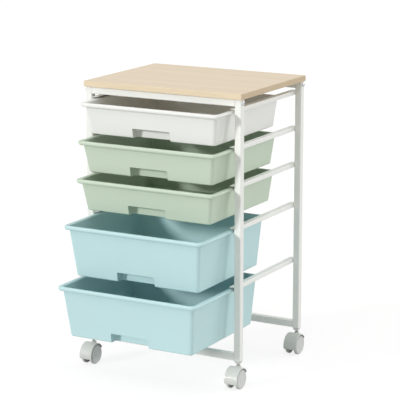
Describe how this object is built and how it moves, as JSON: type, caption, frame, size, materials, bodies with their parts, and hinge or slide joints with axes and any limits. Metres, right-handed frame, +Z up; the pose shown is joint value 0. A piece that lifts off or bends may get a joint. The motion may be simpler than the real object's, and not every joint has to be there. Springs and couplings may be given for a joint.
{
  "type": "rolling drawer cart",
  "caption": "Open metal frame on twin wheel casters with a wooden top, carrying shallow and deep moulded drawers that slide out on folded runners.",
  "frame": {"origin": "on the floor under the middle of the whole cart's box, with the drawers as stored", "axes": "+X is the cart's right, -Y its front, +Z up"},
  "size_m": [0.416, 0.4824, 0.667],
  "materials": {
    "panel_wood": "pale maple foil, satin, with edging of the same colour",
    "frame_paint": "white powder coat, satin",
    "drawer_white": "moulded polypropylene, fine texture",
    "drawer_green": "moulded polypropylene, fine texture",
    "drawer_blue": "moulded polypropylene, fine texture",
    "bolt_steel": "zinc plated",
    "screw_steel": "zinc plated",
    "insert_plastic": "moulded",
    "socket_plastic": "moulded",
    "stem_steel": "zinc plated",
    "hood_plastic": "moulded, light gloss",
    "wheel_plastic": "moulded",
    "axle_steel": "bright steel"
  },
  "bodies": {
    "frame": {"top_panel": "panel_wood", "panel_screws": "screw_steel", "frame_bolts": "bolt_steel", "rail_inserts": "insert_plastic", "front_top_rail": "frame_paint", "front_bottom_rail": "frame_paint", "rear_top_rail": "frame_paint", "rear_bottom_rail": "frame_paint", "front_left_post": "frame_paint", "front_right_post": "frame_paint", "rear_left_post": "frame_paint", "rear_right_post": "frame_paint", "left_runner_1": "frame_paint", "right_runner_1": "frame_paint", "left_runner_2": "frame_paint", "right_runner_2": "frame_paint", "left_runner_3": "frame_paint", "right_runner_3": "frame_paint", "left_runner_4": "frame_paint", "right_runner_4": "frame_paint", "left_runner_5": "frame_paint", "right_runner_5": "frame_paint", "front_left_caster_socket": "socket_plastic", "front_left_caster_stem": "stem_steel", "front_right_caster_socket": "socket_plastic", "front_right_caster_stem": "stem_steel", "rear_left_caster_socket": "socket_plastic", "rear_left_caster_stem": "stem_steel", "rear_right_caster_socket": "socket_plastic", "rear_right_caster_stem": "stem_steel"},
    "drawer_1": {"drawer_1": "drawer_white"},
    "drawer_2": {"drawer_2": "drawer_green"},
    "drawer_3": {"drawer_3": "drawer_green"},
    "drawer_4": {"drawer_4": "drawer_blue"},
    "drawer_5": {"drawer_5": "drawer_blue"},
    "front_left_caster": {"front_left_caster_hood": "hood_plastic", "front_left_caster_axle": "axle_steel"},
    "front_left_caster_wheel_left": {"front_left_caster_wheel_left": "wheel_plastic"},
    "front_left_caster_wheel_right": {"front_left_caster_wheel_right": "wheel_plastic"},
    "front_right_caster": {"front_right_caster_hood": "hood_plastic", "front_right_caster_axle": "axle_steel"},
    "front_right_caster_wheel_left": {"front_right_caster_wheel_left": "wheel_plastic"},
    "front_right_caster_wheel_right": {"front_right_caster_wheel_right": "wheel_plastic"},
    "rear_left_caster": {"rear_left_caster_hood": "hood_plastic", "rear_left_caster_axle": "axle_steel"},
    "rear_left_caster_wheel_left": {"rear_left_caster_wheel_left": "wheel_plastic"},
    "rear_left_caster_wheel_right": {"rear_left_caster_wheel_right": "wheel_plastic"},
    "rear_right_caster": {"rear_right_caster_hood": "hood_plastic", "rear_right_caster_axle": "axle_steel"},
    "rear_right_caster_wheel_left": {"rear_right_caster_wheel_left": "wheel_plastic"},
    "rear_right_caster_wheel_right": {"rear_right_caster_wheel_right": "wheel_plastic"}
  },
  "joints": [
    {"name": "drawer_1_slide", "type": "slide", "parent": "frame", "child": "drawer_1", "axis": [0, -1, 0], "range_m": [-0.052, 0.183]},
    {"name": "drawer_2_slide", "type": "slide", "parent": "frame", "child": "drawer_2", "axis": [0, -1, 0], "range_m": [-0.064, 0.171]},
    {"name": "drawer_3_slide", "type": "slide", "parent": "frame", "child": "drawer_3", "axis": [0, -1, 0], "range_m": [-0.073, 0.162]},
    {"name": "drawer_4_slide", "type": "slide", "parent": "frame", "child": "drawer_4", "axis": [0, -1, 0], "range_m": [-0.126, 0.109]},
    {"name": "drawer_5_slide", "type": "slide", "parent": "frame", "child": "drawer_5", "axis": [0, -1, 0], "range_m": [-0.155, 0.08]},
    {"name": "front_left_caster_swivel", "type": "hinge", "parent": "frame", "child": "front_left_caster", "pos_m": [-0.1915, -0.06725, 0.0495], "axis": [0, 0, 1], "continuous": true},
    {"name": "front_left_caster_wheel_left_roll", "type": "hinge", "parent": "front_left_caster", "child": "front_left_caster_wheel_left", "pos_m": [-0.1915, -0.07925, 0.023], "axis": [1, 0, 0], "continuous": true},
    {"name": "front_left_caster_wheel_right_roll", "type": "hinge", "parent": "front_left_caster", "child": "front_left_caster_wheel_right", "pos_m": [-0.1915, -0.07925, 0.023], "axis": [1, 0, 0], "continuous": true},
    {"name": "front_right_caster_swivel", "type": "hinge", "parent": "frame", "child": "front_right_caster", "pos_m": [0.1915, -0.06725, 0.0495], "axis": [0, 0, 1], "continuous": true},
    {"name": "front_right_caster_wheel_left_roll", "type": "hinge", "parent": "front_right_caster", "child": "front_right_caster_wheel_left", "pos_m": [0.1915, -0.07925, 0.023], "axis": [1, 0, 0], "continuous": true},
    {"name": "front_right_caster_wheel_right_roll", "type": "hinge", "parent": "front_right_caster", "child": "front_right_caster_wheel_right", "pos_m": [0.1915, -0.07925, 0.023], "axis": [1, 0, 0], "continuous": true},
    {"name": "rear_left_caster_swivel", "type": "hinge", "parent": "frame", "child": "rear_left_caster", "pos_m": [-0.1915, 0.23025, 0.0495], "axis": [0, 0, 1], "continuous": true},
    {"name": "rear_left_caster_wheel_left_roll", "type": "hinge", "parent": "rear_left_caster", "child": "rear_left_caster_wheel_left", "pos_m": [-0.1915, 0.21825, 0.023], "axis": [1, 0, 0], "continuous": true},
    {"name": "rear_left_caster_wheel_right_roll", "type": "hinge", "parent": "rear_left_caster", "child": "rear_left_caster_wheel_right", "pos_m": [-0.1915, 0.21825, 0.023], "axis": [1, 0, 0], "continuous": true},
    {"name": "rear_right_caster_swivel", "type": "hinge", "parent": "frame", "child": "rear_right_caster", "pos_m": [0.1915, 0.23025, 0.0495], "axis": [0, 0, 1], "continuous": true},
    {"name": "rear_right_caster_wheel_left_roll", "type": "hinge", "parent": "rear_right_caster", "child": "rear_right_caster_wheel_left", "pos_m": [0.1915, 0.21825, 0.023], "axis": [1, 0, 0], "continuous": true},
    {"name": "rear_right_caster_wheel_right_roll", "type": "hinge", "parent": "rear_right_caster", "child": "rear_right_caster_wheel_right", "pos_m": [0.1915, 0.21825, 0.023], "axis": [1, 0, 0], "continuous": true}
  ]
}
